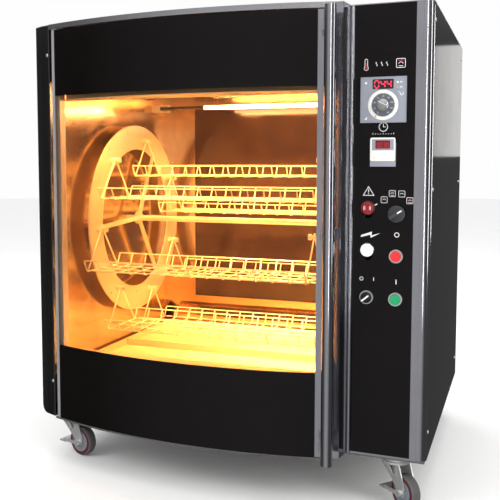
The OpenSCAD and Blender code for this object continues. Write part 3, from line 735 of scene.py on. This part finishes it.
def digit(b, ch, x, z, w, h, t, y0, y1, mat):
    """A seven-segment figure whose lower left corner is at (x, z)."""
    m = z + h / 2
    places = {
        "a": ((x, z + h), (x + w, z + h)), "g": ((x, m), (x + w, m)), "d": ((x, z), (x + w, z)),
        "f": ((x, m), (x, z + h)), "b": ((x + w, m), (x + w, z + h)), "e": ((x, z), (x, m)),
        "c": ((x + w, z), (x + w, m)),
    }
    for s in SEGMENTS[ch]:
        (xa, za), (xb, zb) = places[s]
        g = t * 0.62
        if za == zb:
            b.line([(xa + g, za), (xb - g, zb)], t, y0, y1, mat)
        else:
            b.line([(xa, za + g), (xb, zb - g)], t, y0, y1, mat)


ctrl = Build()
CX = DIAL.x
CX0, CX1 = CX - 48.0, CX + 48.0
CZ1 = high("panel_instruments").z
CZ0 = CZ1 - 96.0
# A raised rim round the display and its small lamps.
ctrl.line(rounded(CX0 + 1.2, CZ0 + 1.2, CX1 - 1.2, CZ1 - 1.2, 2.5), 1.6, FACE - 0.9, FACE,
          instrument_grey, closed=True)
ctrl.plate(rounded(CX - 22.5, CZ1 - 25.5, CX + 21.5, CZ1 - 5.2, 1.0), FACE - 0.35, FACE,
           display_dark)
for i, ch in enumerate("044"):
    digit(ctrl, ch, CX - 18.2 + 13.0 * i, CZ1 - 23.0, 8.6, 15.0, 2.3, FACE - 0.6, FACE - 0.3,
          display_red)
ctrl.plate(circle(CX - 36.7, CZ1 - 12.5, 2.3, 20), FACE - 0.5, FACE, white_print)
for dz, mat in ((-12.2, lamp_green), (-22.5, lamp_red)):
    ctrl.plate(circle(CX + 29.7, CZ1 + dz, 1.7, 20), FACE - 0.6, FACE, mat)
    ctrl.line([(CX + 34.5, CZ1 + dz), (CX + 39.5, CZ1 + dz)], 1.9, PRINT, FACE, white_print)
# Degree sign with its C.
ctrl.line(circle(CX + 38.6, CZ1 - 35.8, 3.1, 14, 50, 260), 1.2, PRINT, FACE, white_print)
ctrl.line(circle(CX + 33.0, CZ1 - 32.6, 1.0, 12), 0.6, PRINT, FACE, white_print, closed=True)
ctrl.done("controller_face", "cabinet")

dial = Build()
DX, DZ = DIAL.x, DIAL.z
dial.turned([(31.8, 0), (31.8, 0.9), (31.2, 1.3), (25.0, 1.3), (24.4, 0.9), (24.4, 0)],
            (DX, FACE, DZ), (0, -1, 0), white_plastic, 72)
dial.plate(circle(DX, DZ, 24.5, 60), FACE - 0.25, FACE, scale_grey)
for i in range(41):
    a = -147 + 294 * i / 40
    long = i % 5 == 0
    ra, rb = (22.0 if long else 22.8), 24.0
    s, c = math.sin(math.radians(a)), math.cos(math.radians(a))
    dial.line([(DX + ra * s, DZ + ra * c), (DX + rb * s, DZ + rb * c)], 0.45 if long else 0.3,
              FACE - 0.42, FACE - 0.2, white_print)
for i, text in enumerate(("0", "50", "100", "150", "200", "250", "300", "350", "400")):
    a = math.radians(-147 + 294 * i / 8)
    tx, tz = DX + 18.6 * math.sin(a), DZ + 18.6 * math.cos(a)
    w, h, gap = 1.15, 2.5, 0.75
    x = tx - (len(text) * w + (len(text) - 1) * gap) / 2
    for ch in text:
        digit(dial, ch, x, tz - h / 2, w, h, 0.42, FACE - 0.42, FACE - 0.2, white_print)
        x += w + gap
for a in (-147, -60):
    s, c = math.sin(math.radians(a)), math.cos(math.radians(a))
    mat = red_print if a == -147 else white_print
    dial.line([(DX + 25.4 * s, DZ + 25.4 * c), (DX + 31.0 * s, DZ + 31.0 * c)], 1.6,
              FACE - 1.5, FACE - 1.2, mat)
dial.plate([(CX0 + 9, CZ0 + 7), (CX0 + 15, CZ0 + 13), (CX0 + 14, CZ0 + 6.4)], PRINT, FACE,
           white_print)
dial.done("dial_scale", "cabinet")

timer = Build()
TIMER_X, TIMER_Z, TIMER_W, TIMER_H = 869.8, 659.0, 53.5, 50.0
TX0, TX1 = TIMER_X - TIMER_W / 2, TIMER_X + TIMER_W / 2
TZ0, TZ1 = TIMER_Z - TIMER_H / 2, TIMER_Z + TIMER_H / 2
timer.line(rounded(TX0 + 2.0, TZ0 + 2.0, TX1 - 2.0, TZ1 - 2.0, 2.2), 3.4, FACE - 1.4, FACE,
           white_plastic, closed=True)
timer.plate(rounded(TX0 + 3.4, TIMER_Z - 2, TX1 - 3.4, TZ1 - 3.2, 1.2), FACE - 0.7, FACE,
            instrument_grey)
timer.plate(rounded(TX0 + 3.4, TZ0 + 3.2, TX1 - 3.4, TIMER_Z - 2, 1.2), FACE - 0.9, FACE,
            white_plastic)
timer.plate(rounded(TIMER_X - 15.5, TIMER_Z + 1.6, TIMER_X + 15.5, TZ1 - 6.2, 1.0), FACE - 1.0,
            FACE, timer_window)
for i, ch in enumerate("0030"):
    digit(timer, ch, TIMER_X - 12.0 + 6.6 * i, TIMER_Z + 4.2, 4.0, 9.6, 0.9, FACE - 1.2,
          FACE - 0.9, timer_red)
for i in range(4):
    timer.block((TIMER_X - 16.6 + 9 * i, FACE - 1.7, TZ0 + 7), (TIMER_X - 10.4 + 9 * i, FACE - 0.6,
                TZ0 + 13.4), 0.5, white_print)
timer.done("timer_face", "cabinet")

# ------------------------------------------------------------------ symbols

symbols = Build()
S0, S1 = -0.35, 0.0
W = 1.1


def oven_icon(cx, cz, size, top_heat, low_heat, line):
    h = size / 2
    symbols.line(rounded(cx - h, cz - h, cx + h, cz + h, size * 0.12), line, S0, S1, white_print,
                 closed=True)
    if top_heat:
        symbols.line([(cx - h * 0.6, cz + h * 0.62), (cx + h * 0.6, cz + h * 0.62)], line * 1.1,
                     S0, S1, red_print)
    symbols.line(circle(cx, cz - h * 0.25, h * 0.5, 12, -80, 160), line * 0.9, S0, S1,
                 white_print)
    if low_heat:
        symbols.line([(cx - h * 0.5, cz - h * 0.62), (cx + h * 0.5, cz - h * 0.62)], line, S0, S1,
                     white_print)


# Thermometer.
symbols.line(circle(831.0, 847.2, 2.8, 9, -90, 180) + [(833.8, 834.5)]
             + circle(831.0, 830.8, 4.4, 15, 40, 280) + [(828.2, 834.5)], W, S0, S1, white_print,
             closed=True)
symbols.plate(circle(831.0, 830.8, 2.2, 20), S0, S1, red_print)
symbols.line([(831.0, 832), (831.0, 843)], 0.9, S0, S1, red_print)
# Three rising waves stand for heat where the photograph has a word.
for cx in (853.0, 864.0, 875.0):
    wave = [(cx + 1.5 * math.sin(2 * math.pi * i / 10), 834.5 + 0.85 * i) for i in range(11)]
    symbols.line(wave, 1.2, S0, S1, white_print)
oven_icon(903.6, 839.0, 18.5, True, True, W)
# Clock.
symbols.line(circle(869.0, 706.5, 9.2, 36), W, S0, S1, white_print, closed=True)
symbols.line([(869.0, 713.0), (869.0, 706.5), (874.0, 706.5)], W, S0, S1, white_print)
for i in range(12):
    a = math.radians(30 * i)
    symbols.line([(869 + 7.2 * math.sin(a), 706.5 + 7.2 * math.cos(a)),
                  (869 + 8.4 * math.sin(a), 706.5 + 8.4 * math.cos(a))], 0.6, S0, S1, white_print)
# A row of marks stands for the passing of time.
for i in range(9):
    tall = 3.6 if i % 4 == 0 else 2.2
    symbols.line([(847.0 + 5.5 * i, 690.6), (847.0 + 5.5 * i, 690.6 + tall)], 0.9, S0, S1,
                 white_print)
# Triangle.
symbols.line([(839.6, 579.6), (851.0, 561.0), (828.2, 561.0)], 1.3, S0, S1, white_print,
             closed=True)
symbols.line([(839.6, 574.0), (839.6, 567.6)], 1.5, S0, S1, white_print)
symbols.plate(circle(839.6, 564.6, 1.0, 14), S0, S1, white_print)
# The function knob's four places.
for (cx, cz), heats in zip(((873.0, 552.0), (890.0, 565.5), (910.0, 565.0), (927.0, 551.0)),
                           ((True, False), (True, True), (False, False), (True, True))):
    oven_icon(cx, cz, 13.0, heats[0], heats[1], 0.8)
symbols.plate(circle(897.5, 511.5, 1.6, 16), S0, S1, white_print)
# Lightning.
symbols.plate([(823.5, 470.2), (825.6, 475.4), (848.0, 483.0), (847.2, 474.6), (866.0, 480.6),
               (845.2, 469.4), (844.4, 476.4)], S0, S1, white_print)
# Stop is a ring, start is a bar, and the switch has one of each.
symbols.line(circle(901.0, 477.5, 4.6, 28), 1.5, S0, S1, white_print, closed=True)
symbols.line([(901.0, 371.5), (901.0, 381.5)], 1.7, S0, S1, white_print)
symbols.line(circle(826.5, 380.0, 3.6, 24), 1.2, S0, S1, white_print, closed=True)
symbols.line([(853.0, 376.2), (853.0, 383.8)], 1.4, S0, S1, white_print)
symbols.done("panel_symbols", "cabinet")

# ------------------------------------------------------------------ lamps, buttons, knobs

lamps = Build()
BUZZ, LAMP = Vector((838.6, 0, 534.0)), Vector((838.0, 0, 442.8))
for c, collar in ((BUZZ, black_plastic), (LAMP, knob_metal)):
    lamps.turned([(10.5, -44), (10.5, 0), (15.5, 0), (15.5, 2.6), (14.6, 3.8), (12.6, 4.0)], c,
                 (0, -1, 0), collar, 48)
lamps.turned([(14.4, 3.4), (14.4, 6.8), (13.6, 8.6), (9.0, 9.4), (8.6, 8.6), (3.4, 8.6),
              (3.0, 9.8), (0, 10.0)], BUZZ, (0, -1, 0), lens_red, 48, 0.05, 16)
for s in (-1, 1):
    for r, w in ((5.2, 1.0), (7.6, 1.0)):
        lamps.line(circle(BUZZ.x, BUZZ.z, r, 9, 90 * s - 38, 76), w, -9.6, -8.5, white_print)
lamps.line([(BUZZ.x + 13.0, BUZZ.z + 5.5), (BUZZ.x + 20.0, BUZZ.z + 8.5)], 2.2, -0.5, 0,
           white_print)
lamps.turned([(13.4, 3.8), (13.0, 6.6), (11.0, 8.8), (7.0, 9.7), (0, 10.0)], LAMP, (0, -1, 0),
             lens_white, 48)
lamps.done("panel_lamps", "cabinet", ["panel_indicators"])


def push_button(node, mat):
    c = middle(node)
    lo, hi = low(node), high(node)
    b = Build()
    rim = (hi.x - lo.x) / 2
    front = lo.y
    b.turned([(0, hi.y), (4.6, hi.y), (5.0, hi.y - 0.4), (5.0, -6.2), (rim - 0.4, -6.2),
              (rim, -6.8), (rim, front + 1.4), (rim - 0.5, front + 0.4), (rim - 1.4, front),
              (rim - 2.4, front + 0.35), (rim - 3.2, front + 0.9), (4.0, front + 0.6),
              (0, front + 0.45)], (c.x, 0, c.z), (0, 1, 0), mat, 56)
    b.done(node + "_cap", node, [node])


def knob(node, body, mat, disc_y, disc_r, back_y, stem_r, grip_half, turn, mark,
         lobes=0, mark_mat=None):
    """A turned disc with a raised grip bar, on a stem."""
    hi, lo = high(node), low(node)
    c = {"temperature_dial": DIAL}.get(node) or middle(node)
    b = Build()
    r = disc_r
    b.turned([(0, hi.y), (stem_r, hi.y), (stem_r, back_y), (r - 0.6, back_y), (r, back_y - 0.6),
              (r, disc_y + 1.6), (r - 0.7, disc_y + 0.5), (r - 1.8, disc_y + 0.1),
              (r - 2.6, disc_y + 0.5), (r - 3.4, disc_y + 0.1), (0, disc_y)], (c.x, 0, c.z),
             (0, 1, 0), mat, 72, 0.035 if lobes else 0.0, lobes)
    b.block((c.x - grip_half, lo.y, c.z - r + 1.6), (c.x + grip_half, disc_y + 0.6,
            c.z + r - 1.6), 1.2, mat, 3, turn, (c.x, 0, c.z))
    z0, z1, w = mark
    b.block((c.x - w, lo.y - 0.06, c.z + z0), (c.x + w, lo.y + 0.5, c.z + z1), 0.0,
            mark_mat or white_print, 1, turn, (c.x, 0, c.z))
    b.done(body + "_grip", body, [node])


push_button("start_button", button_green)
push_button("stop_button", button_red)
knob("temperature_dial", "temperature_dial", knob_metal, -17.0, 13.0, -8.6, 3.0,
     3.2, -62.0, (7.0, 11.3, 0.7), 0, black_plastic)
knob("function_knob", "function_knob", knob_plastic, -15.0, 18.0, -5.6, 3.0, 3.2,
     57.0, (4.0, 14.5, 1.5), 30)
knob("power_switch_knob", "power_switch_knob", black_plastic, -11.0, 12.0, -5.6,
     3.0, 3.2, 50.0, (-10.0, 10.0, 1.7))

# ------------------------------------------------------------------ castors

WHEEL_HALF = 12.0
CROWN_R = 31.8
SKIRT_T = 1.6
# How far the skirt reaches round from its front to each side, in degrees.
SKIRT_TURN = 112


def castor_wheel(corner):
    """A tyre with a coloured band on each shoulder, and hub covers with a ringed face."""
    node = "castor_wheel_" + corner
    c = middle(node)
    r = (high(node).z - low(node).z) / 2
    axis = Vector(joint(f"castor_{corner}_roll")["axis"])
    b = Build()
    b.turned([(r - 4.6, -WHEEL_HALF + 0.2), (r - 2.2, -WHEEL_HALF + 0.9), (r - 0.5, -8.6),
              (r, -6.0), (r, 6.0), (r - 0.5, 8.6), (r - 2.2, WHEEL_HALF - 0.9),
              (r - 4.6, WHEEL_HALF - 0.2)], c, axis, tread_grey, 72)
    for s in (-1, 1):
        b.turned([(r - 4.6, s * (WHEEL_HALF - 0.2)), (r - 5.4, s * WHEEL_HALF),
                  (r - 10.4, s * WHEEL_HALF), (r - 11.2, s * (WHEEL_HALF - 0.3))], c, axis,
                 tread_red, 72)
        b.turned([(r - 11.2, s * (WHEEL_HALF - 0.3)), (r - 11.6, s * (WHEEL_HALF + 0.8)),
                  (r - 12.4, s * (WHEEL_HALF + 1.0)), (20.0, s * (WHEEL_HALF + 0.9)),
                  (19.2, s * (WHEEL_HALF + 0.4)), (15.0, s * (WHEEL_HALF + 0.35)),
                  (14.2, s * (WHEEL_HALF + 0.9)), (9.0, s * (WHEEL_HALF + 1.0)),
                  (4.15, s * (WHEEL_HALF + 1.0)), (4.12, 0)], c, axis, hub_plastic, 72)
    b.done(f"castor_wheel_{corner}_tyre", node, [node], weld=0.01)


def castor_skirt(corner):
    """The pressed sheet of a fork below its crown: closed in front, open towards the wheel."""
    pivot = local(joint(f"castor_{corner}_swivel")["pos_m"])
    axle = middle("castor_wheel_" + corner)
    ahead = Vector((axle.x - pivot.x, axle.y - pivot.y, 0)).normalized()
    side = Vector((-ahead.y, ahead.x, 0))
    crown = high("castor_fork_" + corner).z
    # Height, radius, and how far the round lies towards the wheel.
    rows = [(crown - 0.2, CROWN_R, 0.0), (crown - 5, CROWN_R, 0.0), (crown - 9, 30.6, 0.4),
            (crown - 20, 26.0, 4.0), (axle.z + 31, 21.0, 9.0)]
    steps = 32
    verts, faces = [], []
    for skin in (0.0, SKIRT_T):
        for z, r, c in rows:
            for k in range(steps + 1):
                a = math.radians(SKIRT_TURN * (2 * k / steps - 1))
                p = (ahead * (c - (r - skin) * math.cos(a)) + side * (r - skin) * math.sin(a))
                verts.append((pivot.x + p.x, pivot.y + p.y, z))
    n, m = steps + 1, len(rows)
    for i in range(m - 1):
        for k in range(steps):
            o = i * n + k
            faces.append((o, o + 1, o + n + 1, o + n))
            faces.append((m * n + o + 1, m * n + o, m * n + o + n, m * n + o + n + 1))
        for k in (0, steps):
            o = i * n + k
            faces.append((o, o + n, m * n + o + n, m * n + o))
    for k in range(steps):
        for o in (k, (m - 1) * n + k):
            faces.append((o, o + 1, m * n + o + 1, m * n + o))
    b = Build()
    b.faces(verts, faces, zinc)
    b.done(f"castor_skirt_{corner}", "castor_fork_" + corner, angle=50.0)


for corner in CORNERS:
    castor_wheel(corner)
    castor_skirt(corner)

# ------------------------------------------------------------------ floor, light, camera


def stage_floor():
    t = Tree("Pale floor")
    fine = t.noise(3.0, 4.0)
    p = t.add("BsdfPrincipled")
    t.join(t.blend(fine, (0.93, 0.93, 0.93), (0.95, 0.95, 0.95)), p.inputs["Base Color"])
    t.join(t.span(fine, 0.55, 0.65), p.inputs["Roughness"])
    m = t.surface(p.outputs[0])
    bm = bmesh.new()
    bmesh.ops.create_circle(bm, cap_ends=True, segments=96, radius=14.0)
    mesh = bpy.data.meshes.new("floor")
    bm.to_mesh(mesh)
    bm.free()
    mesh.materials.append(m)
    obj = bpy.data.objects.new("floor", mesh)
    bpy.context.scene.collection.objects.link(obj)
    obj.location.z = cad_box[0][2] - 0.0002
    obj.visible_glossy = False


stage_floor()


def area_light(name, place, target, size, power, color, in_mirrors=True, spread=180.0):
    data = bpy.data.lights.new(name, "AREA")
    data.spread = math.radians(spread)
    data.shape = "RECTANGLE"
    data.size, data.size_y = size
    data.energy = power
    data.color = color
    obj = bpy.data.objects.new(name, data)
    obj.location = place
    obj.rotation_euler = (Vector(target) - Vector(place)).to_track_quat("-Z", "Y").to_euler()
    obj.visible_camera = False
    obj.visible_glossy = in_mirrors
    bpy.context.scene.collection.objects.link(obj)


PALE = (1.0, 0.99, 0.97)
WARM = (1.0, 0.46, 0.12)
GOLD = (1.0, 0.60, 0.25)
area_light("key", (-2.2, -2.6, 2.6), (0, 0, 0.5), (1.6, 1.6), 40, PALE, False)
area_light("fill", (2.8, -1.4, 1.9), (0, 0, 0.5), (0.9, 1.8), 25, PALE, False)
area_light("top", (0.2, 0.1, 3.4), (0, 0, 0), (2.4, 2.4), 30, PALE)
area_light("back", (-1.4, 3.2, 2.2), (0, 0, 0.5), (1.4, 1.4), 25, PALE)
# Tall soft strips for the polished metal to mirror.
area_light("strip_front", (1.9, -3.6, 0.9), (0.4, 0, 0.6), (0.25, 2.4), 13, PALE)
area_light("strip_right", (3.4, -0.5, 1.0), (0.4, 0, 0.6), (0.5, 1.8), 8, PALE)
area_light("patch_back", (0.95, 6.0, 1.35), (0.48, 0, 0.8), (0.5, 1.1), 1.4, PALE)
area_light("strip_slope", (2.1, 3.2, 1.0), (0.28, -0.33, 0.7), (0.7, 1.6), 14, PALE)
# Warm light from the tubes, spread so that every wall takes it.
area_light("glow_top", at(440, 560, 796), at(430, 440, 300), (0.50, 0.05), 24, WARM, False, 120.0)
area_light("glow_front", at(390, 80, 780), at(390, 420, 330), (0.62, 0.05), 16, WARM, False, 110.0)
area_light("glow_low", at(400, 300, 150), at(400, 420, 700), (0.50, 0.20), 5, WARM, False, 140.0)
area_light("glow_right", at(560, 330, 420), at(580, 380, 100), (0.30, 0.30), 9, GOLD, False,
           120.0)

world = bpy.data.worlds.new("Studio")
bpy.context.scene.world = world
world.use_nodes = True
wt = world.node_tree
wt.nodes.clear()


def world_node(kind, **inputs):
    n = wt.nodes.new("ShaderNode" + kind)
    for k, v in inputs.items():
        n.inputs[k].default_value = v
    return n


def world_span(value, a, b, lo, hi):
    n = world_node("MapRange", **{"From Min": a, "From Max": b, "To Min": lo, "To Max": hi})
    wt.links.new(value, n.inputs["Value"])
    return n.outputs[0]


# Plain white to look at and for soft light. Mirrors see a darker room instead, lighter
# overhead and in front of the oven.
seen = world_node("Background", Color=(0.99, 0.99, 0.99, 1.0), Strength=1.0)
soft = world_node("Background", Color=(1.0, 1.0, 1.0, 1.0), Strength=1.05)
room = world_node("Background", Color=(1.0, 1.0, 1.02, 1.0))
path = world_node("LightPath")
way = world_node("SeparateXYZ")
wt.links.new(world_node("TexCoord").outputs["Generated"], way.inputs[0])
level = world_node("Math")
wt.links.new(world_span(way.outputs["Y"], -0.55, -1.0, 0.06, 0.42), level.inputs[0])
wt.links.new(world_span(way.outputs["Z"], 0.15, 0.95, 0.0, 0.9), level.inputs[1])
in_mirror = world_node("MixShader")
to_camera = world_node("MixShader")
world_out = world_node("OutputWorld")
for a, b in (
    (level.outputs[0], room.inputs["Strength"]),
    (path.outputs["Is Glossy Ray"], in_mirror.inputs[0]),
    (soft.outputs[0], in_mirror.inputs[1]),
    (room.outputs[0], in_mirror.inputs[2]),
    (path.outputs["Is Camera Ray"], to_camera.inputs[0]),
    (in_mirror.outputs[0], to_camera.inputs[1]),
    (seen.outputs[0], to_camera.inputs[2]),
    (to_camera.outputs[0], world_out.inputs["Surface"]),
):
    wt.links.new(a, b)

bpy.context.scene.view_settings.view_transform = "Standard"

cam_data = bpy.data.cameras.new("Photo view")
cam = bpy.data.objects.new("Photo view", cam_data)
bpy.context.scene.collection.objects.link(cam)
cam.location = (0.6656, -1.9592, 0.7590)
cam.rotation_euler = (math.radians(85.63), 0.0, math.radians(20.92))
cam_data.lens = 54.8
cam_data.sensor_width = 36.0
cam_data.shift_x = 0.0345
cam_data.shift_y = -0.0619
cam_data.clip_start = 0.05
cam_data.clip_end = 100.0
bpy.context.scene.camera = cam
